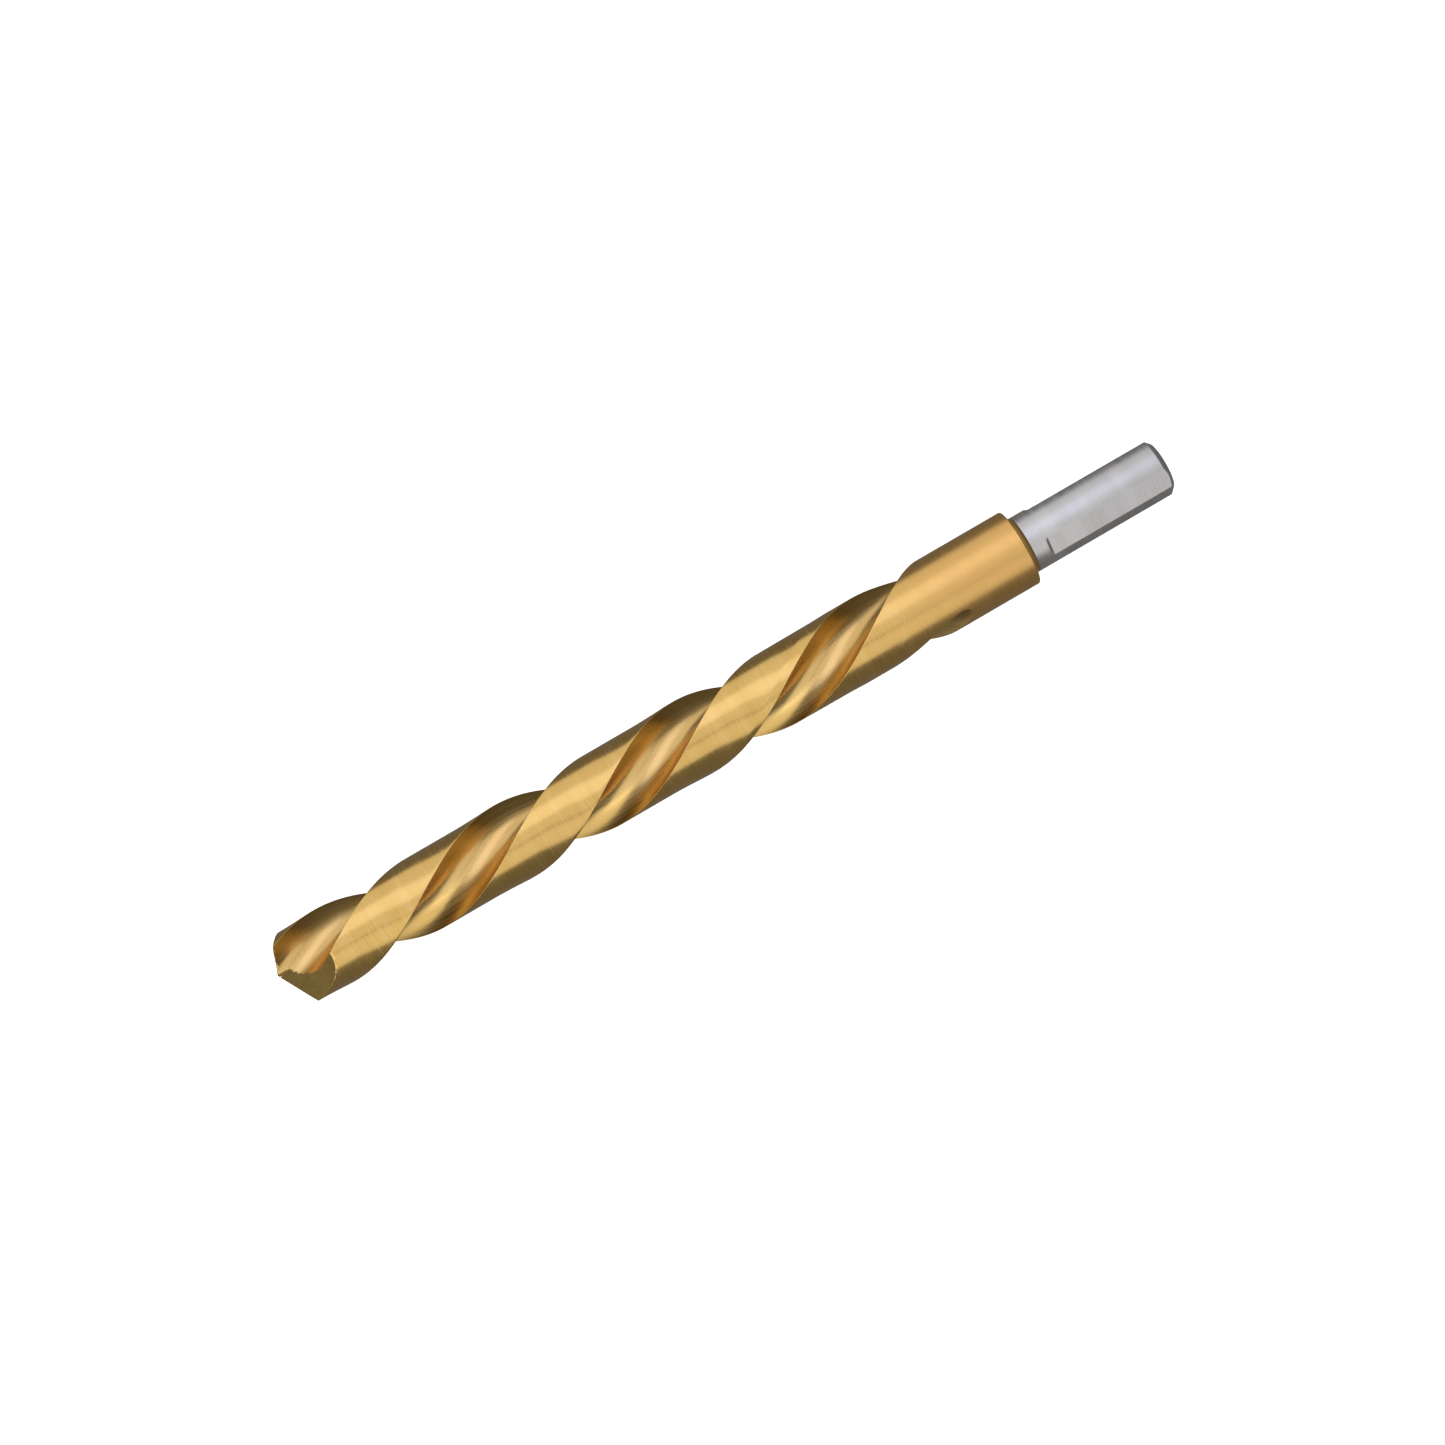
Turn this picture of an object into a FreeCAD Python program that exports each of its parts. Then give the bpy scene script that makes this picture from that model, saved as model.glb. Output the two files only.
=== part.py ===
import FreeCAD, Part
import math
import os
import Sketcher

# A left-hand twist drill with a reduced shank.
# It lies along X: the point is at low X, the shank's free end at high X.
# The origin is on the drill's axis in the plane of the shoulder, where the shank
# leaves the body. Millimetres and degrees.
#
# Two pieces, friction-welded face to face just past the shoulder:
#   drill_body  high-speed steel: point, flutes, neck, shoulder and a short stub
#   shank       softer alloy steel, with three drive flats
#
# An angle about the axis is counted from +Z towards -Y, right-handed about +X.

SIZES = {
    "body_dia": 12.7,
    "shank_dia": 9.525,
    "body_length": 132.3,
    "shank_length": 25.7,
    "stub_length": 0.9,
    "shoulder_break": 0.15,
    "lead": 63.3,
    "index_angle": -62.7,
    "neck_length": 12.0,
    "runout_length": 15.5,
    "flute_angle": 90.8,
    "heel_radius": 4.6,
    "web_dia": 2.7,
    "web_rise": 0.0087,
    "margin_angle": 1.0,
    "clearance_angle": 40.0,
    "clearance_depth": 0.233,
    "clearance_fade": 36.0,
    "clearance_stop": 20.3,
    "point_angle": 135.0,
    "lip_relief": 20.0,
    "heel_drop": 55.0,
    "heel_turn": 119.0,
    "heel_setback": 0.34,
    "heel_wall": 35.0,
    "plain_length": 3.4,
    "flat_depth": 0.3,
    "flat_radius": 0.55,
    "flat_count": 3,
    "flat_angle": 34.0,
    "end_chamfer": 0.9,
}

SECTION_STEP = 2.5      # spacing of the sections along a helical cut
OUTSIDE = 1.15          # a cutter reaches to this many body radii
AHEAD = 1.0             # and starts this far ahead of the point
PAST_FADE = 2.0         # the clearance cut runs this far past where it leaves the land
PAST_HEEL = 8.0         # and this far past the heel, in degrees
CLEARANCE_STEPS = 8     # the clearance curve goes through one point more than this
PAST_END = 1.0          # the flat wheel's outline goes this far beyond the shank
TOUCH = 1e-6
LEAST_CUT = 0.1         # a flat that takes off less than this volume has missed
NODES = ("drill_body", "shank")

doc = FreeCAD.newDocument("twist_drill")


def make_sheet():
    """Each driving size is one row: its name, then its value."""
    sheet = doc.addObject("Spreadsheet::Sheet", "sizes")
    for row, (name, value) in enumerate(SIZES.items(), start=1):
        sheet.set(f"A{row}", name)
        sheet.set(f"B{row}", str(value))
        sheet.setAlias(f"B{row}", name)
    doc.recompute()
    return sheet


sheet = make_sheet()


def size(name):
    return float(sheet.get(name))


def polar(x, radius, angle):
    """The point at this radius and angle about the axis, in the plane at x."""
    a = math.radians(angle)
    return FreeCAD.Vector(x, -radius * math.sin(a), radius * math.cos(a))


def turn_at(x):
    """The angle of the first leading edge at x: left-hand, so it falls as x grows."""
    return size("index_angle") - 360.0 * x / size("lead")


def arc(first, middle, last):
    return Part.Arc(first, middle, last).toShape()


def line(first, last):
    return Part.LineSegment(first, last).toShape()


def flute_lift(x):
    """How far the flute wheel has risen at x.

    It rises steadily from the point, which thickens the web, and over the run-out also
    as the square of the way, so that it leaves the body at the neck.
    """
    start = -size("neck_length") - size("runout_length")
    way = max(0.0, x - start) / size("runout_length")
    depth = (size("body_dia") - size("web_dia")) / 2
    steady = size("web_rise") * (x + size("body_length"))
    steady_end = size("web_rise") * (size("body_length") - size("neck_length"))
    return steady + (depth - steady_end) * way**2


def angle_at(radius, centre_r, arc_r):
    """The angle from an arc's centre to where the arc crosses this radius."""
    cosine = (centre_r**2 + radius**2 - arc_r**2) / (2 * centre_r * radius)
    return math.degrees(math.acos(cosine))


def flute_section(x):
    """The flute wheel's outline at x.

    A straight radial face from the leading edge, an arc tangent to the face and to the
    web, an arc from the web out past the heel, and a closing arc outside the body. Near
    the flute's end the whole outline rises away from the web.
    """
    web = size("web_dia") / 2
    heel_r = size("heel_radius")
    outer = OUTSIDE * size("body_dia") / 2
    heel_centre = heel_r + web
    deepest = size("flute_angle") - angle_at(size("body_dia") / 2, heel_centre, heel_r)
    sine = math.sin(math.radians(deepest))
    face_centre = web + web * sine / (1 - sine)
    turn = turn_at(x)
    face_in = face_centre * math.cos(math.radians(deepest))
    spread = angle_at(outer, heel_centre, heel_r)
    heel_out = deepest + spread
    rise = outer * math.cos(math.radians(spread))
    swing = math.atan2(outer * math.sin(math.radians(spread)), heel_centre - rise)

    def on_arc(centre_r, arc_r, swing):
        """The arc's point that lies this far round from its deepest point."""
        middle = polar(x, centre_r, turn + deepest)
        return middle + polar(0, arc_r, turn + deepest + 180 + swing)

    end = polar(x, outer, turn + heel_out)
    heel_middle = on_arc(heel_centre, heel_r, -math.degrees(swing) / 2)
    face_middle = on_arc(face_centre, face_centre - web, (90 - deepest) / 2)
    edges = [
        line(polar(x, outer, turn), polar(x, face_in, turn)),
        arc(polar(x, face_in, turn), face_middle, polar(x, web, turn + deepest)),
        arc(polar(x, web, turn + deepest), heel_middle, end),
        arc(end, polar(x, outer, turn + heel_out / 2), polar(x, outer, turn)),
    ]
    wire = Part.Wire(edges)
    wire.translate(polar(0, flute_lift(x), turn + deepest))
    return wire


def clearance_section(x):
    """The outline at x that is ground off the land behind its margin.

    Its inner edge falls away behind the margin as a sine, to the whole clearance, and
    then keeps its radius past the heel. Over the fade it all moves steadily outwards,
    until it leaves the body.
    """
    body_r = size("body_dia") / 2
    depth = size("clearance_depth")
    fade_start = -size("clearance_stop") - size("clearance_fade")
    way = max(0.0, x - fade_start) / size("clearance_fade")
    least = body_r - depth * (1.0 - way)
    outer = OUTSIDE * body_r
    front = turn_at(x)
    full = size("margin_angle") + size("clearance_angle")
    back = front + size("flute_angle") - 180.0 - PAST_HEEL
    middle = (front - full + back) / 2
    fall = []
    for i in range(CLEARANCE_STEPS + 1):
        behind = full * i / CLEARANCE_STEPS
        done = math.sin(math.pi / 2 * (behind - size("margin_angle")) / size("clearance_angle"))
        fall.append(polar(x, least + depth * (1.0 - done), front - behind))
    curve = Part.BSplineCurve()
    curve.interpolate(fall)
    edges = [
        curve.toShape(),
        arc(fall[-1], polar(x, least, middle), polar(x, least, back)),
        line(polar(x, least, back), polar(x, outer, back)),
        arc(polar(x, outer, back), polar(x, outer, (front + back) / 2), polar(x, outer, front)),
        line(polar(x, outer, front), fall[0]),
    ]
    return Part.Wire(edges)


def helical_cut(name, section, first, last):
    """A lofted cutter through the sections from first to last, and its opposite."""
    count = max(2, math.ceil((last - first) / SECTION_STEP))
    places = [first + (last - first) * i / count for i in range(count + 1)]
    cutter = Part.makeLoft([section(x) for x in places], True, False)
    pair = []
    for number, side in enumerate((0, 180), start=1):
        feature = doc.addObject("Part::Feature", f"{name}_{number}")
        feature.Shape = cutter
        feature.Placement = FreeCAD.Placement(
            FreeCAD.Vector(), FreeCAD.Rotation(FreeCAD.Vector(1, 0, 0), side)
        )
        pair.append(feature)
    return pair


def origin_plane(body, role):
    return next(f for f in body.Origin.OriginFeatures if f.Role == role)


def new_sketch(body, name, role):
    sketch = body.newObject("Sketcher::SketchObject", name)
    sketch.AttachmentSupport = (origin_plane(body, role), "")
    sketch.MapMode = "FlatFace"
    return sketch


def closed_outline(sketch, points):
    """Straight edges through the points and back to the first, joined at their ends."""
    vectors = [FreeCAD.Vector(x, y, 0) for x, y in points]
    count = len(vectors)
    for i, vector in enumerate(vectors):
        sketch.addGeometry(Part.LineSegment(vector, vectors[(i + 1) % count]), False)
    for i in range(count):
        sketch.addConstraint(Sketcher.Constraint("Coincident", i, 2, (i + 1) % count, 1))


def level(sketch, *edges):
    for edge in edges:
        sketch.addConstraint(Sketcher.Constraint("Horizontal", edge))


def upright(sketch, *edges):
    for edge in edges:
        sketch.addConstraint(Sketcher.Constraint("Vertical", edge))


def bind(sketch, constraint, expression):
    """Add a driving constraint and bind its value to the sheet."""
    index = sketch.addConstraint(constraint)
    sketch.setExpression(f"Constraints[{index}]", expression)


def make_blank():
    """The turned blank: the body, its broken shoulder edge and the stub, as one turn."""
    body = doc.addObject("PartDesign::Body", "blank")
    sketch = new_sketch(body, "blank_profile", "XZ_Plane")
    length = size("body_length")
    radius = size("body_dia") / 2
    stub_r = size("shank_dia") / 2
    cut = size("shoulder_break")
    points = [
        (-length, 0),
        (-length, radius),
        (-cut, radius),
        (0, radius - cut),
        (0, stub_r),
        (size("stub_length"), stub_r),
        (size("stub_length"), 0),
    ]
    closed_outline(sketch, points)
    upright(sketch, 0, 3, 5)
    level(sketch, 1, 4, 6)
    constraint = Sketcher.Constraint
    sketch.addConstraint(constraint("PointOnObject", 0, 1, -1))
    bind(sketch, constraint("DistanceX", 0, 1, -1, 1, length), "sizes.body_length")
    bind(sketch, constraint("DistanceY", 0, 1, 0, 2, radius), "sizes.body_dia / 2")
    bind(sketch, constraint("DistanceX", 1, 2, -1, 1, cut), "sizes.shoulder_break")
    bind(sketch, constraint("DistanceY", 2, 2, 2, 1, cut), "sizes.shoulder_break")
    sketch.addConstraint(constraint("PointOnObject", 3, 1, -2))
    bind(sketch, constraint("DistanceY", -1, 1, 4, 1, stub_r), "sizes.shank_dia / 2")
    stub_end = constraint("DistanceX", -1, 1, 5, 1, size("stub_length"))
    bind(sketch, stub_end, "sizes.stub_length")
    turned = body.newObject("PartDesign::Revolution", "turned")
    turned.Profile = sketch
    turned.ReferenceAxis = (sketch, ["H_Axis"])
    turned.Angle = 360
    return body


def half_space(name, kept_side, through):
    """A block that fills one side of the plane through this point.

    The vector kept_side is the plane's normal, and points away from the block.
    """
    block = doc.addObject("Part::Box", name)
    block.setExpression("Length", "sizes.body_dia * 2")
    block.setExpression("Width", "sizes.body_dia * 4")
    block.setExpression("Height", "sizes.body_dia * 4")
    doc.recompute()
    turned = FreeCAD.Rotation(FreeCAD.Vector(1, 0, 0), kept_side)
    face_middle = FreeCAD.Vector(block.Length, block.Width / 2, block.Height / 2)
    block.Placement = FreeCAD.Placement(through - turned.multVec(face_middle), turned)
    return block


def falling_plane(name, drop, direction, setback):
    """The space ahead of a plane that falls back from the tip by tan(drop).

    It falls along the direction, an angle about the axis, and crosses the axis this
    setback behind the tip.
    """
    fall = polar(0, math.tan(math.radians(drop)), direction)
    through = FreeCAD.Vector(setback - size("body_length"), 0, 0)
    return half_space(name, FreeCAD.Vector(1, 0, 0) - fall, through)


def cut_from(name, base, *tools):
    """Cut the tools from the base one after another; the last cut gets the name."""
    for i, tool in enumerate(tools, start=1):
        cut = doc.addObject("Part::Cut", name if i == len(tools) else f"{name}_{i}")
        cut.Base = base
        cut.Tool = tool
        base = cut
    doc.recompute()
    return base


def make_point():
    """What is ground off the blank to make the point.

    A flank holds its lip and falls back behind it by the relief. The heel behind it is
    a steeper plane, and a wall ahead of the other lip keeps it to its own side.
    """
    half = math.radians(size("point_angle") / 2)
    relief = math.tan(math.radians(size("lip_relief")))
    corner = turn_at(size("body_dia") / 2 / math.tan(half) - size("body_length"))
    lip = corner - math.degrees(math.asin(size("web_dia") / size("body_dia")))
    slope = math.degrees(math.atan(math.hypot(1 / math.tan(half), relief)))
    lag = math.degrees(math.atan(relief * math.tan(half)))
    ground = []
    for number, side in enumerate((0, 180), start=1):
        ground.append(falling_plane(f"flank_{number}", slope, lip + side - lag, 0))
        heel = doc.addObject("Part::Common", f"heel_{number}")
        heel.Base = falling_plane(
            f"heel_floor_{number}",
            size("heel_drop"),
            corner + side - size("heel_turn"),
            size("heel_setback"),
        )
        wall = corner + side + 180 + size("heel_wall")
        heel.Tool = half_space(
            f"heel_wall_{number}",
            polar(0, 1, wall - 90),
            FreeCAD.Vector(-size("body_length"), 0, 0),
        )
        ground.append(heel)
    return ground


def make_drill_body():
    """The blank with its flutes, its lands' clearance and its point cut away."""
    ahead = -size("body_length") - AHEAD
    flutes = helical_cut("flute", flute_section, ahead, -size("neck_length"))
    clearance_end = PAST_FADE - size("clearance_stop")
    clearance = helical_cut("clearance", clearance_section, ahead, clearance_end)
    return cut_from("drill_body", make_blank(), *flutes, *clearance, *make_point())


def make_shank():
    """The reduced shank: a plain stretch, then a grip stretch with its drive flats."""
    body = doc.addObject("PartDesign::Body", "shank")
    constraint = Sketcher.Constraint
    radius = size("shank_dia") / 2
    sheet_radius = "sizes.shank_dia / 2"

    def round_pad(name, start, length):
        sketch = new_sketch(body, f"{name}_circle", "YZ_Plane")
        sketch.setExpression("AttachmentOffset.Base.z", start)
        circle = Part.Circle(FreeCAD.Vector(), FreeCAD.Vector(0, 0, 1), radius)
        sketch.addGeometry(circle, False)
        sketch.addConstraint(constraint("Coincident", 0, 3, -1, 1))
        bind(sketch, constraint("Radius", 0, radius), sheet_radius)
        pad = body.newObject("PartDesign::Pad", name)
        pad.Profile = sketch
        pad.Refine = False
        pad.setExpression("Length", length)
        doc.recompute()
        return pad

    # the plain stretch runs a little past where the flats start
    plain_end = "sizes.plain_length + sizes.flat_depth"
    round_pad("plain", "sizes.stub_length", f"{plain_end} - sizes.stub_length")
    grip = round_pad("grip", plain_end, f"sizes.shank_length - ({plain_end})")

    end_edges = [
        f"Edge{i}"
        for i, edge in enumerate(grip.Shape.Edges, start=1)
        if abs(edge.BoundBox.XMin - size("shank_length")) < TOUCH
        and abs(edge.BoundBox.XMax - size("shank_length")) < TOUCH
    ]
    chamfer = body.newObject("PartDesign::Chamfer", "end_chamfer")
    chamfer.Base = (grip, end_edges)
    chamfer.Refine = False
    chamfer.setExpression("Size", "sizes.end_chamfer")
    doc.recompute()

    # the wheel's side view: a round corner down to the flat, then straight out
    start = size("plain_length")
    wheel = size("flat_radius")
    bottom = radius - size("flat_depth")
    reach = math.sqrt(wheel**2 - (wheel - size("flat_depth")) ** 2)
    past = size("shank_length") + PAST_END
    above = radius + PAST_END
    sketch = new_sketch(body, "flat_profile", "XZ_Plane")
    middle_turn = math.asin(reach / wheel) / 2
    centre = FreeCAD.Vector(start + reach, bottom + wheel, 0)
    first = FreeCAD.Vector(start, radius, 0)
    last = FreeCAD.Vector(start + reach, bottom, 0)
    middle = centre - FreeCAD.Vector(math.sin(middle_turn), math.cos(middle_turn), 0) * wheel
    corners = [last, FreeCAD.Vector(past, bottom, 0), FreeCAD.Vector(past, above, 0),
               FreeCAD.Vector(start, above, 0), first]
    for begin, end in zip(corners, corners[1:]):
        sketch.addGeometry(Part.LineSegment(begin, end), False)
    sketch.addGeometry(Part.Arc(first, middle, last), False)
    for i in range(len(corners)):
        sketch.addConstraint(constraint("Coincident", i, 2, (i + 1) % len(corners), 1))
    level(sketch, 0, 2)
    upright(sketch, 1, 3)
    sketch.addConstraint(constraint("Vertical", 4, 3, 0, 1))
    bind(sketch, constraint("Radius", 4, wheel), "sizes.flat_radius")
    bind(sketch, constraint("DistanceX", -1, 1, 3, 2, start), "sizes.plain_length")
    bind(sketch, constraint("DistanceY", -1, 1, 3, 2, radius), sheet_radius)
    bind(sketch, constraint("DistanceY", -1, 1, 0, 1, bottom), f"{sheet_radius} - sizes.flat_depth")
    bind(sketch, constraint("DistanceX", -1, 1, 0, 2, past), f"sizes.shank_length + {PAST_END}")
    bind(sketch, constraint("DistanceY", -1, 1, 1, 2, above), f"{sheet_radius} + {PAST_END}")
    pocket = body.newObject("PartDesign::Pocket", "drive_flat")
    pocket.Profile = sketch
    pocket.Midplane = True
    pocket.Type = "Length"
    pocket.Refine = False
    pocket.setExpression("Length", "sizes.shank_dia * 2")
    before = chamfer.Shape.Volume
    doc.recompute()
    if pocket.Shape.Volume > before - LEAST_CUT:
        raise RuntimeError("the drive flat cut nothing")
    pattern = body.newObject("PartDesign::PolarPattern", "drive_flats")
    pattern.Originals = [pocket]
    pattern.Axis = (origin_plane(body, "X_Axis"), [""])
    pattern.Angle = 360
    pattern.Refine = False
    pattern.setExpression("Occurrences", "sizes.flat_count")
    body.Tip = pattern
    doc.recompute()
    body.setExpression("Placement.Rotation.Angle", "sizes.flat_angle")
    body.Placement.Rotation.Axis = FreeCAD.Vector(1, 0, 0)
    doc.recompute()
    return body


def check_document():
    for item in doc.Objects:
        wrong = {"Invalid", "Error"} & set(item.State)
        if wrong:
            raise RuntimeError(f"{item.Name} is {sorted(wrong)}")


def write_parts():
    os.makedirs("parts", exist_ok=True)
    for node in NODES:
        found = doc.getObjectsByLabel(node)[0].Shape
        if found.isNull() or not found.isValid():
            raise RuntimeError(f"{node} has no valid shape")
        found.exportStep(f"parts/{node}.step")
        print(node, len(found.Solids), "solid", round(found.Volume, 2), "mm3")


make_drill_body()
make_shank()
check_document()
write_parts()
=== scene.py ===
"""A left-hand twist drill with a reduced shank, on a pale studio floor.

The drill lies along X with its point at low X, and the origin is on its axis in the
plane of the shoulder. Lengths are in millimetres until skin() puts them in a mesh, in
metres. An angle about the axis is counted from +Z towards -Y.
"""

import math

import bmesh
import bpy
import numpy as np
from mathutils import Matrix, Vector


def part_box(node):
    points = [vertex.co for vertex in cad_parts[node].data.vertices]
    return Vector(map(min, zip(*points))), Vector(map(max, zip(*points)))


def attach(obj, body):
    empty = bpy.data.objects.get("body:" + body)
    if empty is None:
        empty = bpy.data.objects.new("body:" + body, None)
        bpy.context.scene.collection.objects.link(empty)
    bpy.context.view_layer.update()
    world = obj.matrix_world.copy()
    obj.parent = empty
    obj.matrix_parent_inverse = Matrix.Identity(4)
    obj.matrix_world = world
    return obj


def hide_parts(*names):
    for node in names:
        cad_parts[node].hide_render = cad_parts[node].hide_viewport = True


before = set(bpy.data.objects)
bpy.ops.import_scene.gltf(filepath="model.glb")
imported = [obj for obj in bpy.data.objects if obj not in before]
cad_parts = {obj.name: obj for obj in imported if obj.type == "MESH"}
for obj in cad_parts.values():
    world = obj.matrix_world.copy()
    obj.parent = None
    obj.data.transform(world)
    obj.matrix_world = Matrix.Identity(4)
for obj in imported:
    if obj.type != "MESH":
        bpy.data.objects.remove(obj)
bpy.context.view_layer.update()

MM = 0.001

# the drill's sizes, in millimetres and degrees
BODY_R = 6.35
SHANK_R = 4.7625
POINT_X = -132.3
STUB_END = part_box("drill_body")[1].x / MM
SHANK_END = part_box("shank")[1].x / MM
SHOULDER_BREAK = 0.15
LEAD = 63.3             # length of one turn of the flutes
INDEX_ANGLE = -62.7     # where the first cutting edge stands in the shoulder's plane
FLUTE_END = -12.0
RUNOUT = 15.5           # length over which the flute wheel rises out of the body
FLUTE_ANGLE = 90.8
HEEL_ARC = 4.6
WEB_R = 1.35            # at the point
WEB_RISE = 0.0087       # and how much the web thickens per millimetre
RELIEF = 0.233          # how far the land is relieved behind its cutting edge
RELIEF_ANGLE = 40.0     # and over what angle it falls away
MARGIN_ANGLE = 1.0
FADE_START = -56.3
FADE = 36.0
EDGE_BREAK = 0.07       # how far a coated edge is rounded
TURNED_BREAK = 0.08     # and a turned one

# the point
POINT_ANGLE = 135.0
LIP_RELIEF = 20.0
HEEL_DROP = 55.0
HEEL_TURN = 119.0
HEEL_SETBACK = 0.34
HEEL_WALL = 35.0

# the shank
FLAT_START = 3.4
FLAT_DEPTH = 0.3
FLAT_WHEEL = 0.55
FLAT_COUNT = 3
FLAT_ANGLE = 34.0
END_CHAMFER = 0.9

# the meshes
FLUTE_STEPS = 43        # faces across a flute, between its rounded edges
LAND_STEPS = 61         # and across a land
SECTION_STEP = 0.5      # between the fluted body's sections
RUNOUT_SECTIONS = 91
SHANK_STEPS = 144
AHEAD = 1.0             # the fluted blank starts this far ahead of the point
BESIDE = 0.1            # an extra ring this near an edge keeps its shading narrow
REACH = 60.0            # a grinding wheel is a block that reaches this far
CLEAR = 2.0             # and a flat's wheel goes this far past the shank
END_RING = 0.5          # the shank's end face starts with a ring this wide
SAME_POINT = 0.0004     # points nearer than this are one


# ---------------------------------------------------------------- shapes

def polar(radius, angle):
    """(y, z) at this radius and angle, in degrees, about the axis."""
    a = np.radians(angle)
    return np.stack([-radius * np.sin(a), radius * np.cos(a)], axis=-1)


def turn_at(x):
    """The first cutting edge's angle at x: it falls steadily, a whole turn per lead."""
    return INDEX_ANGLE - 360.0 * x / LEAD


def swing_at(radius, centre_r, arc_r):
    """How far round an arc swings, in radians, from its deepest point to this radius.

    By the cosine rule in the triangle of the axis, the arc's centre and the crossing.
    """
    cosine = (centre_r**2 + arc_r**2 - radius**2) / (2 * centre_r * arc_r)
    return np.arccos(np.clip(cosine, -1.0, 1.0))


HEEL_CENTRE = HEEL_ARC + WEB_R
DEEPEST = FLUTE_ANGLE - math.degrees(math.acos(
    (HEEL_CENTRE**2 + BODY_R**2 - HEEL_ARC**2) / (2 * HEEL_CENTRE * BODY_R)))
FACE_CENTRE = WEB_R / (1 - math.sin(math.radians(DEEPEST)))
FACE_ARC = FACE_CENTRE - WEB_R
FACE_SWING = math.radians(90.0 - DEEPEST)


def flute_curve(along, lift, turn):
    """(y, z) on the flute wheel's outline, by signed distance along it.

    Distance 0 is its deepest point, on the web. Below 0 it is an arc of radius FACE_ARC
    that swings FACE_SWING and goes on straight, which is the cutting face; above 0 it is
    an arc of radius HEEL_ARC. The outline rises from the axis by the lift.
    """
    swing = np.clip(-along / FACE_ARC, 0.0, FACE_SWING)
    straight = np.maximum(-along - FACE_ARC * FACE_SWING, 0.0)
    heel_swing = np.maximum(along, 0.0) / HEEL_ARC
    out = (WEB_R + lift + FACE_ARC * (1 - np.cos(swing)) + HEEL_ARC * (1 - np.cos(heel_swing))
           + straight * math.sin(FACE_SWING))
    across = (HEEL_ARC * np.sin(heel_swing) - FACE_ARC * np.sin(swing)
              - straight * math.cos(FACE_SWING))
    deepest = turn + DEEPEST
    return polar(out, deepest) + polar(across, deepest + 90.0)


def flute_ends(lift, land_r):
    """Signed distances along the flute's outline to its cutting edge and to its heel.

    Each is where the outline crosses the body's or the land's radius. The face crosses
    it on its straight stretch, or on its arc once the lift has carried that outwards.
    """
    swing = swing_at(BODY_R, FACE_CENTRE + lift, FACE_ARC)
    start_out = FACE_CENTRE + lift - FACE_ARC * math.cos(FACE_SWING)
    start_across = -FACE_ARC * math.sin(FACE_SWING)
    along = start_out * math.sin(FACE_SWING) - start_across * math.cos(FACE_SWING)
    shade_fade_from_edge = along**2 - start_out**2 - start_across**2 + BODY_R**2
    straight = np.sqrt(np.maximum(shade_fade_from_edge, 0.0)) - along
    edge = np.where(swing < FACE_SWING, swing * FACE_ARC, straight + FACE_SWING * FACE_ARC)
    heel = HEEL_ARC * swing_at(land_r, HEEL_CENTRE + lift, HEEL_ARC)
    return -edge, heel


def spread(first, last, count, tight=0.012):
    """Even steps from first to last, with one more point close to each end.

    The close points keep the shading of a rounded edge from spreading over the face.
    """
    steps = np.concatenate([[0.0, tight], np.linspace(0, 1, count)[1:-1], [1 - tight, 1.0]])
    return first + (last - first) * steps


def angle_of(points):
    return np.degrees(np.arctan2(-points[..., 0], points[..., 1]))


def rounding(before, corner, after):
    """Two points on the parabola that leaves before and reaches after at the corner's
    two sides: weights (1-t)^2, 2t(1-t) and t^2 at a third and two thirds."""
    t = np.array([1 / 3, 2 / 3])[:, None]
    return ((1 - t)**2 * before[..., None, :] + 2 * t * (1 - t) * corner[..., None, :]
            + t**2 * after[..., None, :])


def body_rings(x):
    """The body's outlines at each x: flute, rounded heel, land, rounded edge, twice.

    Every ring has the same points in the same order, so that the same point on each
    ring makes a line along the helix. The web thickens along the drill, and the flute
    rises out of it at its end as the square of the way. Behind its cutting edge the
    land falls away as a sine, and over the fade that relief moves steadily outwards
    until it leaves the body.
    """
    x = x[:, None]
    turn = turn_at(x)
    way = np.clip((x - FLUTE_END + RUNOUT) / RUNOUT, 0.0, 1.0)
    last_lift = BODY_R - WEB_R - WEB_RISE * (FLUTE_END - POINT_X)
    lift = WEB_RISE * (x - POINT_X) + last_lift * way**2
    left = np.clip((x - FADE_START) / FADE, 0.0, 1.0)
    edge, heel = flute_ends(lift, BODY_R - RELIEF * (1 - left))
    edge_break = np.minimum(EDGE_BREAK, -edge / 8)
    heel_break = np.minimum(EDGE_BREAK, heel / 8)

    flute = flute_curve(
        spread(edge + edge_break, heel - heel_break, FLUTE_STEPS - 1), lift, turn)
    heel_corner = flute_curve(heel, lift, turn)[:, 0]
    edge_corner = flute_curve(edge, lift, turn)[:, 0]
    edge_angle = np.mod(angle_of(edge_corner)[:, None] - turn + 90.0, 360.0) - 90.0
    heel_angle = np.mod(angle_of(heel_corner)[:, None] - turn, 360.0)

    land_start = heel_angle + np.degrees(heel_break / BODY_R)
    land_end = 180.0 + edge_angle - np.degrees(edge_break / BODY_R)
    place = spread(land_start, land_end, LAND_STEPS - 1)
    behind = np.clip((180.0 - MARGIN_ANGLE - place) / RELIEF_ANGLE, 0.0, 1.0)
    fall = np.maximum(np.sin(behind * np.pi / 2) - left, 0.0)
    land = polar(BODY_R - RELIEF * fall, turn + place)

    heel_round = rounding(flute[:, -1], heel_corner, land[:, 0])
    edge_round = rounding(land[:, -1], -edge_corner, -flute[:, 0])
    half = np.concatenate([flute, heel_round, land, edge_round], axis=1)
    ring = np.concatenate([half, -half], axis=1)
    return np.concatenate([np.repeat(x[:, :, None], ring.shape[1], axis=1), ring], axis=2)


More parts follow.
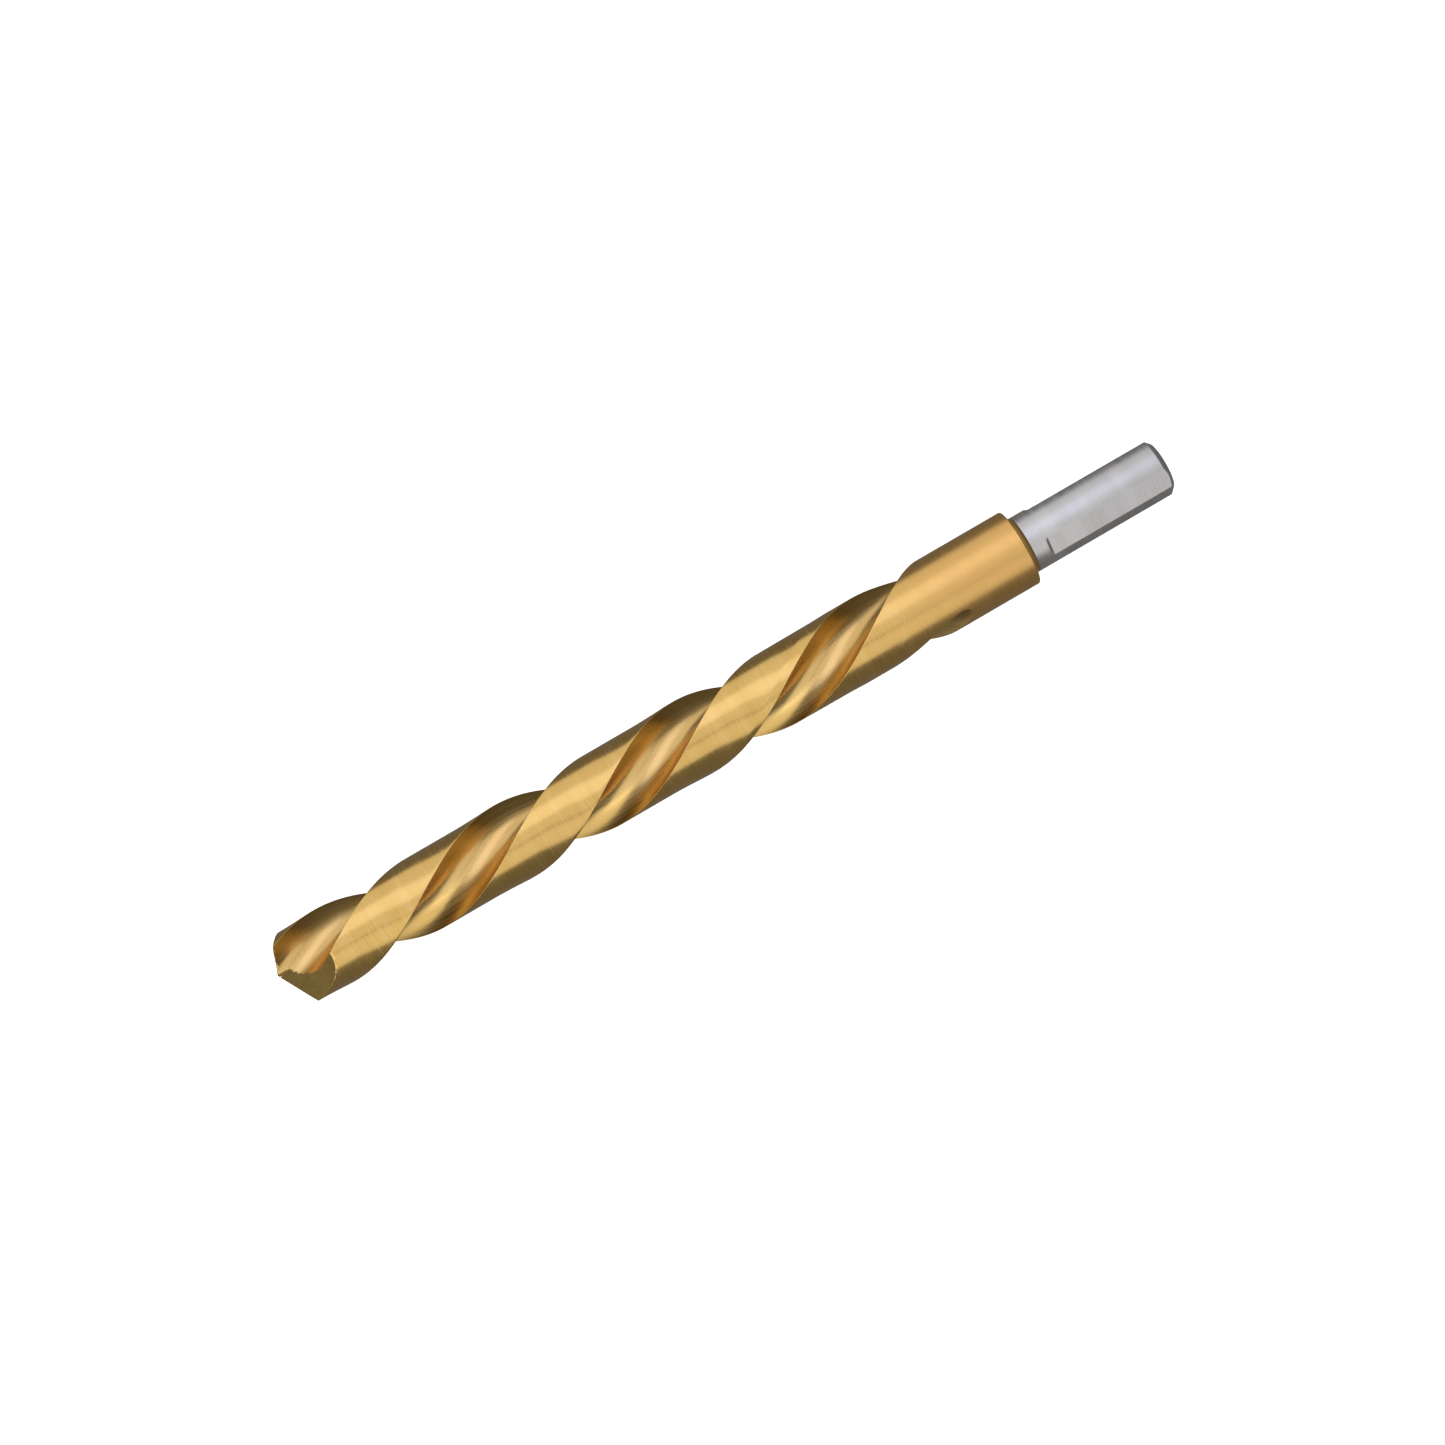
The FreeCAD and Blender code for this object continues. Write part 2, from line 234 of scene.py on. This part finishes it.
def rounded(corners, radius, steps=4):
    """A line through the corners with each inner one rounded as rounding() does.

    The rounding starts this radius before the corner, or a third of the way to the next.
    """
    corners = np.asarray(corners, float)
    line = [corners[:1]]
    t = np.linspace(0, 1, steps + 1)[:, None]
    for before, corner, after in zip(corners, corners[1:], corners[2:]):
        back, on = before - corner, after - corner
        reach = min(radius, np.linalg.norm(back) / 3, np.linalg.norm(on) / 3)
        start = corner + back / np.linalg.norm(back) * reach
        end = corner + on / np.linalg.norm(on) * reach
        line.append((1 - t)**2 * start + 2 * t * (1 - t) * corner + t**2 * end)
    line.append(corners[-1:])
    return np.concatenate(line)


def turned_rings(profile, directions):
    """Rings of a turned shape: at each (x, radius), the unit (y, z) directions times it."""
    x = np.repeat(profile[:, :1, None], len(directions), axis=1)
    return np.concatenate([x, profile[:, 1, None, None] * directions[None]], axis=2)


def map_ground(mesh, rings, parts):
    """The map "ground": (distance round the ring, x) in millimetres at each face corner.

    The distance is the sum of the steps round the ring, and starts again at each of the
    ring's equal parts.
    """
    count, around = rings.shape[:2]
    closed = np.concatenate([rings, rings[:, :1]], axis=1)
    steps = np.linalg.norm(np.diff(closed[:, :, 1:], axis=1), axis=2)
    distance = np.concatenate([np.zeros((count, 1)), np.cumsum(steps, axis=1)], axis=1)
    part = around // parts
    distance -= distance[:, np.arange(around + 1) // part * part]
    places = np.stack([distance, closed[:, :, 0]], axis=-1)
    corners = np.stack(
        [places[:-1, :-1], places[:-1, 1:], places[1:, 1:], places[1:, :-1]], axis=2)
    ends = np.concatenate([places[0, :-1][::-1], places[-1, :-1]])
    mapped = mesh.uv_layers.new(name="ground")
    mapped.data.foreach_set("uv", np.concatenate([corners.reshape(-1, 2), ends]).ravel())


def skin(name, rings, finish=0, parts=1):
    """A closed mesh object over the rings, each joined to the next, with flat ends.

    The finish is the material's number, one for all or one for each step round a ring.
    """
    count, around = rings.shape[:2]
    index = np.arange(count * around).reshape(count, around)
    beside = np.roll(index, -1, axis=1)
    quads = np.stack([index[:-1], beside[:-1], beside[1:], index[1:]], axis=-1).reshape(-1, 4)
    faces = quads.tolist() + [index[0, ::-1].tolist(), index[-1].tolist()]
    mesh = bpy.data.meshes.new(name)
    mesh.from_pydata((rings.reshape(-1, 3) * MM).tolist(), [], faces)
    smooth = np.ones(len(faces), bool)
    smooth[-2:] = False
    mesh.polygons.foreach_set("use_smooth", smooth)
    kinds = np.zeros(len(faces), np.int32)
    kinds[:-2] = np.broadcast_to(finish, (count - 1, around)).ravel()
    mesh.polygons.foreach_set("material_index", kinds)
    map_ground(mesh, rings, parts)
    work = bmesh.new()
    work.from_mesh(mesh)
    bmesh.ops.remove_doubles(work, verts=work.verts, dist=SAME_POINT * MM)
    bmesh.ops.recalc_face_normals(work, faces=work.faces)
    work.to_mesh(mesh)
    work.free()
    piece = bpy.data.objects.new(name, mesh)
    bpy.context.scene.collection.objects.link(piece)
    return piece


def prism(name, section, axis, half_length):
    """A closed prism: the section's points, swept this far to both sides along the axis."""
    section = np.asarray(section, float)
    sweep = np.array([-half_length, half_length])[:, None, None] * np.asarray(axis)
    piece = skin(name, section[None] + sweep)
    piece.data.polygons.foreach_set("use_smooth", np.zeros(len(piece.data.polygons), bool))
    return piece


def grind(piece, wheels, finish):
    """Cuts the wheels from the piece; the ground faces get the finish."""
    for wheel in wheels:
        wheel.data.materials.append(finish)
        cut = piece.modifiers.new(wheel.name, "BOOLEAN")
        cut.object = wheel
        cut.operation = "DIFFERENCE"
        cut.solver = "EXACT"
        cut.material_mode = "TRANSFER"
    bpy.context.view_layer.update()
    shaped = bpy.data.meshes.new_from_object(
        piece.evaluated_get(bpy.context.evaluated_depsgraph_get()))
    piece.modifiers.clear()
    piece.data = shaped
    shaped.name = piece.name
    for wheel in wheels:
        bpy.data.objects.remove(wheel)


def across(a, b):
    product = np.cross(a, b)
    return product / np.linalg.norm(product)


def x_and(yz):
    return np.concatenate([[0.0], yz])


def falling(drop, direction):
    """The normal of a plane that falls back from the tip by tan(drop) in a direction."""
    normal = np.array([1.0, 0.0, 0.0]) - x_and(polar(math.tan(math.radians(drop)), direction))
    return normal / np.linalg.norm(normal)


def point_wheels():
    """What is ground off ahead of the point: two flanks, and two heels behind walls.

    A flank wheel fills the space ahead of its plane. A heel wheel is the wedge ahead of
    the heel's plane and on its own side of the wall, with its edge along both planes.
    """
    half = math.radians(POINT_ANGLE / 2)
    relief = math.tan(math.radians(LIP_RELIEF))
    corner = turn_at(POINT_X + BODY_R / math.tan(half))
    lip = corner - math.degrees(math.asin(WEB_R / BODY_R))
    slope = math.degrees(math.atan(math.hypot(1 / math.tan(half), relief)))
    lag = math.degrees(math.atan(relief * math.tan(half)))
    tip = np.array([POINT_X, 0.0, 0.0])
    wheels = []
    for side in (0.0, 180.0):
        normal = falling(slope, lip + side - lag)
        sweep = across(normal, [0.0, 0.0, 1.0])
        up = across(sweep, normal)
        low, high = tip - up * REACH, tip + up * REACH
        flank = [low, high, high - normal * REACH, low - normal * REACH]
        wheels.append(prism("flank_wheel", flank, sweep, REACH))

        floor = falling(HEEL_DROP, corner + side - HEEL_TURN)
        wall = x_and(polar(1.0, corner + side + 90.0 + HEEL_WALL))
        sweep = across(floor, wall)
        down_floor, up_wall = across(sweep, floor), across(sweep, wall)
        down_floor *= -np.sign(down_floor @ wall)
        up_wall *= -np.sign(up_wall @ floor)
        level = np.linalg.solve(
            np.stack([floor, wall, sweep]),
            [floor @ (tip + [HEEL_SETBACK, 0.0, 0.0]), wall @ tip, sweep @ tip])
        heel = [level, level + down_floor * REACH, level + up_wall * REACH]
        wheels.append(prism("heel_wheel", heel, sweep, REACH))
    return wheels


def flat_wheels():
    """The wheel that grinds a drive flat, once for each flat.

    Its outline is an arc of radius FLAT_WHEEL down to the flat, then a straight line out
    past the shank's end. The arc starts a little beyond where it meets the shank.
    """
    bottom = SHANK_R - FLAT_DEPTH
    reach = math.sqrt(FLAT_WHEEL**2 - (FLAT_WHEEL - FLAT_DEPTH)**2)
    beyond = 1.15
    swing = np.linspace(math.asin(reach / FLAT_WHEEL) * beyond, 0.0, 13)
    arc_x = FLAT_START + reach - FLAT_WHEEL * np.sin(swing)
    arc_z = bottom + FLAT_WHEEL * (1 - np.cos(swing))
    past, above = SHANK_END + CLEAR, SHANK_R + CLEAR
    side_x = np.concatenate([arc_x, [past, past, arc_x[0]]])
    side_z = np.concatenate([arc_z, [bottom, above, above]])
    wheels = []
    for number in range(FLAT_COUNT):
        angle = FLAT_ANGLE + 360.0 * number / FLAT_COUNT
        section = np.column_stack([side_x, side_z[:, None] * polar(1.0, angle)])
        wheels.append(prism("flat_wheel", section, x_and(polar(1.0, angle + 90.0)), above))
    return wheels


def make_drill_body(land, flute, flank):
    """The fluted body, carried round the helix, then the turned neck, shoulder and stub."""
    straight = np.arange(POINT_X - AHEAD, FLUTE_END - RUNOUT, SECTION_STEP)
    runout = FLUTE_END - RUNOUT * np.linspace(1.0, 0.0, RUNOUT_SECTIONS)**2
    fluted = body_rings(np.concatenate([straight, runout]))
    directions = fluted[-1, :, 1:] / BODY_R
    profile = rounded(
        [(FLUTE_END, BODY_R), (FLUTE_END + BESIDE, BODY_R),
         (-SHOULDER_BREAK - 2 * BESIDE, BODY_R), (-SHOULDER_BREAK, BODY_R),
         (0.0, BODY_R - SHOULDER_BREAK), (0.0, SHANK_R), (STUB_END, SHANK_R)], TURNED_BREAK)
    rings = np.concatenate([fluted[:-1], turned_rings(profile, directions)])
    half = np.concatenate([np.ones(FLUTE_STEPS), np.zeros(rings.shape[1] // 2 - FLUTE_STEPS)])
    finish = np.tile(half, (len(rings) - 1, 2))
    finish[len(fluted) - 1:] = 0
    piece = skin("coated_body", rings, finish, parts=2)
    piece.data.materials.append(land)
    piece.data.materials.append(flute)
    grind(piece, point_wheels(), flank)
    return piece


def make_shank(turned, ground):
    """The turned shank with its chamfered end, then its drive flats."""
    angles = np.linspace(0.0, 360.0, SHANK_STEPS + 1)[:-1]
    end_r = SHANK_R - END_CHAMFER
    past_flat_start = FLAT_START + 1.0
    profile = rounded(
        [(STUB_END, SHANK_R), (STUB_END + BESIDE / 2, SHANK_R),
         (FLAT_START - 2 * BESIDE, SHANK_R), (past_flat_start, SHANK_R),
         (SHANK_END - END_CHAMFER, SHANK_R), (SHANK_END, end_r),
         (SHANK_END, end_r - END_RING)], TURNED_BREAK)
    piece = skin("ground_shank", turned_rings(profile, polar(1.0, angles)))
    piece.data.materials.append(turned)
    grind(piece, flat_wheels(), ground)
    return piece


# ---------------------------------------------------------------- finishes

def colour(code):
    """An sRGB hex colour as linear red, green, blue and 1."""
    parts = [int(code[i:i + 2], 16) / 255 for i in (1, 3, 5)]
    return tuple(p / 12.92 if p <= 0.04045 else ((p + 0.055) / 1.055)**2.4 for p in parts) + (1.0,)


def add(tree, kind, links=None, **settings):
    """One node in the tree: its settings, then each socket's value or the output it takes."""
    node = tree.nodes.new(kind)
    for key, value in settings.items():
        setattr(node, key, value)
    for socket, value in (links or {}).items():
        if isinstance(value, bpy.types.NodeSocket):
            tree.links.new(value, node.inputs[socket])
        else:
            node.inputs[socket].default_value = value
    return node


def new_material(name):
    material = bpy.data.materials.new(name)
    material.use_nodes = True
    material.node_tree.nodes.clear()
    return material, material.node_tree


# where a pattern lies: the node, its output, and how many millimetres are in its unit
IN_PLACE = ({"type": "ShaderNodeTexCoord"}, "Object", 1 / MM)
ON_FLUTE = ({"type": "ShaderNodeUVMap", "uv_map": "ground"}, "UV", 1.0)

MARK_RANGE = 0.3, 0.7       # what the marks' noise mostly gives
BOTH_RANGE = 0.7, 1.3       # and what it gives with the clouds' added
CLOUD_SCALE = 0.07          # so clouds are about 14 marks across


def pattern_place(tree, place):
    """The output that holds the place, and how many millimetres are in its unit."""
    node, output, unit = place
    settings = {key: value for key, value in node.items() if key != "type"}
    return add(tree, node["type"], **settings).outputs[output], unit


def ground_metal(name, place, pitch, tones, roughness, depth):
    """A metal with fine parallel grinding marks.

    The pitch is the marks' size in millimetres in each direction of the place: small
    across them, long along them. Each mark lies between the two tones and the two
    roughnesses, and is this many metres deep. Slow clouds of the same shape vary the
    tone as well. Gives the material, its tree, its shader and what makes its tone and
    its roughness.
    """
    material, tree = new_material(name)
    where, unit = pattern_place(tree, place)
    stretched = add(tree, "ShaderNodeMapping", {
        "Vector": where, "Scale": tuple(unit / size for size in pitch)})
    marks = add(tree, "ShaderNodeTexNoise", {
        "Vector": stretched.outputs[0], "Scale": 1.0, "Detail": 2.0, "Roughness": 0.55})
    clouds = add(tree, "ShaderNodeTexNoise", {
        "Vector": stretched.outputs[0], "Scale": CLOUD_SCALE, "Detail": 2.0, "Roughness": 0.5})
    both = add(tree, "ShaderNodeMath", {0: marks.outputs[0], 1: clouds.outputs[0]},
               operation="ADD")
    share = add(tree, "ShaderNodeMapRange", {
        "Value": both.outputs[0], "From Min": BOTH_RANGE[0], "From Max": BOTH_RANGE[1]})
    tone = add(tree, "ShaderNodeMix", {
        "Factor": share.outputs[0], 6: colour(tones[0]), 7: colour(tones[1])},
        data_type="RGBA")
    dull = add(tree, "ShaderNodeMapRange", {
        "Value": marks.outputs[0], "From Min": MARK_RANGE[0], "From Max": MARK_RANGE[1],
        "To Min": roughness[0], "To Max": roughness[1]})
    scratch = add(tree, "ShaderNodeBump", {
        "Height": marks.outputs[0], "Distance": depth, "Strength": 1.0})
    shader = add(tree, "ShaderNodeBsdfPrincipled", {
        "Base Color": tone.outputs[2], "Metallic": 1.0, "Roughness": dull.outputs[0],
        "Normal": scratch.outputs[0]})
    add(tree, "ShaderNodeOutputMaterial", {"Surface": shader.outputs[0]})
    return material, tree, shader, tone, dull


def fade(tree, place, axis, first, last):
    """A share that rises from 0 to 1 between two places along an axis, in millimetres."""
    where, unit = pattern_place(tree, place)
    split = add(tree, "ShaderNodeSeparateXYZ", {0: where})
    return add(tree, "ShaderNodeMapRange", {
        "Value": split.outputs[axis], "From Min": first / unit, "From Max": last / unit})


def nitride_land():
    """Titanium nitride, vapour-deposited on the cylindrically ground land and neck.

    To the eye it is a pale gold mirror made soft by marks round the body. Real marks
    are about 0.02 mm apart; these are drawn ten times as coarse, or they wouldn't show.
    Towards the shoulder the gold is more orange and more satin.
    """
    material, tree, shader, tone, dull = ground_metal(
        "titanium_nitride_on_ground_land", IN_PLACE, (0.22, 9.0, 9.0),
        ("#D3AC62", "#DEBA74"), (0.2, 0.28), 0.0000006)
    near = fade(tree, IN_PLACE, "X", -30.0, -10.0)
    warm = add(tree, "ShaderNodeMix", {
        "Factor": near.outputs[0], 6: tone.outputs[2], 7: colour("#DDB06A")},
        data_type="RGBA")
    satin = add(tree, "ShaderNodeMath", {
        0: near.outputs[0], 1: 0.1, 2: dull.outputs[0]}, operation="MULTIPLY_ADD")
    tree.links.new(warm.outputs[2], shader.inputs["Base Color"])
    tree.links.new(satin.outputs[0], shader.inputs["Roughness"])
    return material


def nitride_flute():
    """The same coat in the flute, where the wheel's marks run along the helix.

    To the eye it is gold that deepens to orange where it reflects itself. Near the
    cutting edge the flute is painted a darker brown, as painted shade.
    The marks are drawn 0.3 mm apart, coarser than real ones, so that they show.
    """
    material, tree, shader, tone, dull = ground_metal(
        "titanium_nitride_in_ground_flute", ON_FLUTE, (0.3, 14.0, 1.0),
        ("#CFA765", "#DDBB7C"), (0.22, 0.34), 0.0000012)
    # painted shade: brown #A98A50 along the cutting edge, fading into the coat's tones from 1.6 to
    # 3.6 mm into the flute
    shade_fade_from_edge = fade(tree, ON_FLUTE, "X", 1.6, 3.6)
    painted_edge_shade = add(tree, "ShaderNodeMix", {
        "Factor": shade_fade_from_edge.outputs[0], 6: colour("#A98A50"), 7: tone.outputs[2]},
        data_type="RGBA")
    tree.links.new(painted_edge_shade.outputs[2], shader.inputs["Base Color"])
    return material


def nitride_point():
    """The same coat on the ground point.

    To the eye it is a duller gold than the land's, because the wheel leaves it rougher,
    with short straight marks.
    """
    return ground_metal("titanium_nitride_on_ground_point", IN_PLACE, (0.2, 0.25, 4.0),
                        ("#C8A75F", "#DDBB72"), (0.26, 0.36), 0.000001)[0]


def turned_steel():
    """Alloy steel, centreless ground and left bare.

    To the eye it is a neutral satin grey with fine marks round it, drawn as coarse as
    the body's.
    """
    return ground_metal("ground_alloy_steel", IN_PLACE, (0.22, 9.0, 9.0),
                        ("#C0BFBF", "#D2D1D0"), (0.34, 0.46), 0.0000008)[0]


def flat_steel():
    """The same steel where the drive flats are ground.

    To the eye it is one even grey crossed by lighter and darker strokes of the wheel,
    about 0.35 mm wide and straight across.
    """
    return ground_metal("surface_ground_alloy_steel", IN_PLACE, (0.35, 12.0, 12.0),
                        ("#C0BFBF", "#DEDDDD"), (0.28, 0.42), 0.0000015)[0]


# ---------------------------------------------------------------- studio

AIM = Vector((-0.053695, -0.000316, 0.0))   # near the middle of the drill, in metres
AZIMUTH = math.radians(-30.25)
ELEVATION = math.radians(85.08)
CAMERA_DISTANCE = 0.4772
LENS = 76.78            # on a 36 mm wide film

FLOOR_SIDE = 6.0
PANEL_DISTANCE = 1.2    # of every light from the drill, in metres
PANEL_LENGTH = 1.3      # along the drill; the ends of the studio stay dark
PANEL_MIDDLE = -0.053
# each panel's name, angle about the drill, width, brightness, tint and place along it;
# between overhead and near_side is a narrow dark gap
PANELS = (
    ("far_side", -68.0, 0.97, 0.78, "#FFFFFF", 0.0),
    ("key", -26.5, 0.85, 1.42, "#ECEEFF", 0.0),
    ("overhead", 8.0, 0.6, 0.8, "#FFFFFF", 0.0),
    ("near_side", 47.5, 0.99, 0.82, "#FFFFFF", 0.0),
    ("near_end", 55.0, 1.9, 1.0, "#FBFFF0", -1.1),
)


def place_camera():
    """A long lens almost straight above the drill, leaning a little towards its point."""
    back = Vector((math.sin(AZIMUTH) * math.cos(ELEVATION),
                   -math.cos(AZIMUTH) * math.cos(ELEVATION), math.sin(ELEVATION)))
    data = bpy.data.cameras.new("camera")
    data.sensor_width, data.lens = 36.0, LENS
    data.clip_start, data.clip_end = 0.01, 20.0
    camera = bpy.data.objects.new("camera", data)
    camera.location = AIM + back * CAMERA_DISTANCE
    camera.rotation_mode = "QUATERNION"
    camera.rotation_quaternion = (-back).to_track_quat("-Z", "Y")
    bpy.context.scene.collection.objects.link(camera)
    bpy.context.scene.camera = camera


def make_floor():
    """A white floor, matt and a little luminous. Glossy metal doesn't see it."""
    mesh = bpy.data.meshes.new("floor")
    side, level = FLOOR_SIDE, -BODY_R * MM
    mesh.from_pydata([(-side, -side, level), (side, -side, level), (side, side, level),
                      (-side, side, level)], [], [(0, 1, 2, 3)])
    floor = bpy.data.objects.new("floor", mesh)
    material, tree = new_material("pale_floor")
    shader = add(tree, "ShaderNodeBsdfPrincipled", {
        "Base Color": colour("#F4F4F4"), "Roughness": 0.9, "Specular IOR Level": 0.0,
        "Emission Color": colour("#FFFFFF"), "Emission Strength": 0.85})
    add(tree, "ShaderNodeOutputMaterial", {"Surface": shader.outputs[0]})
    mesh.materials.append(material)
    floor.visible_glossy = False
    bpy.context.scene.collection.objects.link(floor)


def softbox(name, angle, width, brightness, tint, along):
    """A rectangular light parallel to the drill, at an angle about its axis."""
    data = bpy.data.lights.new(name, "AREA")
    data.shape = "RECTANGLE"
    data.size, data.size_y = PANEL_LENGTH, width
    data.energy = brightness * math.pi * width * PANEL_LENGTH
    data.color = colour(tint)[:3]
    light = bpy.data.objects.new(name, data)
    y, z = polar(PANEL_DISTANCE, angle)
    light.location = Vector((PANEL_MIDDLE + along, y, z))
    light.rotation_euler = (math.radians(angle), 0.0, 0.0)
    bpy.context.scene.collection.objects.link(light)


def make_studio():
    """Soft panels round the drill; the rest of the room is dim but looks white."""
    for panel in PANELS:
        softbox(*panel)
    world = bpy.data.worlds.new("studio")
    bpy.context.scene.world = world
    world.use_nodes = True
    tree = world.node_tree
    tree.nodes.clear()
    path = add(tree, "ShaderNodeLightPath")
    dim = add(tree, "ShaderNodeBackground", {"Color": colour("#FAF6F2"), "Strength": 0.2})
    white = add(tree, "ShaderNodeBackground", {"Color": colour("#FFFFFF"), "Strength": 1.0})
    seen = add(tree, "ShaderNodeMixShader", {
        0: path.outputs["Is Camera Ray"], 1: dim.outputs[0], 2: white.outputs[0]})
    add(tree, "ShaderNodeOutputWorld", {"Surface": seen.outputs[0]})
    bpy.context.scene.view_settings.view_transform = "Standard"


place_camera()
make_floor()
make_studio()

drill_body = make_drill_body(nitride_land(), nitride_flute(), nitride_point())
shank = make_shank(turned_steel(), flat_steel())
pieces = ((drill_body, "drill_body", "coated_steel"), (shank, "shank", "bare_steel"))
for piece, node, slot in pieces:
    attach(piece, "root")
    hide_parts(node)
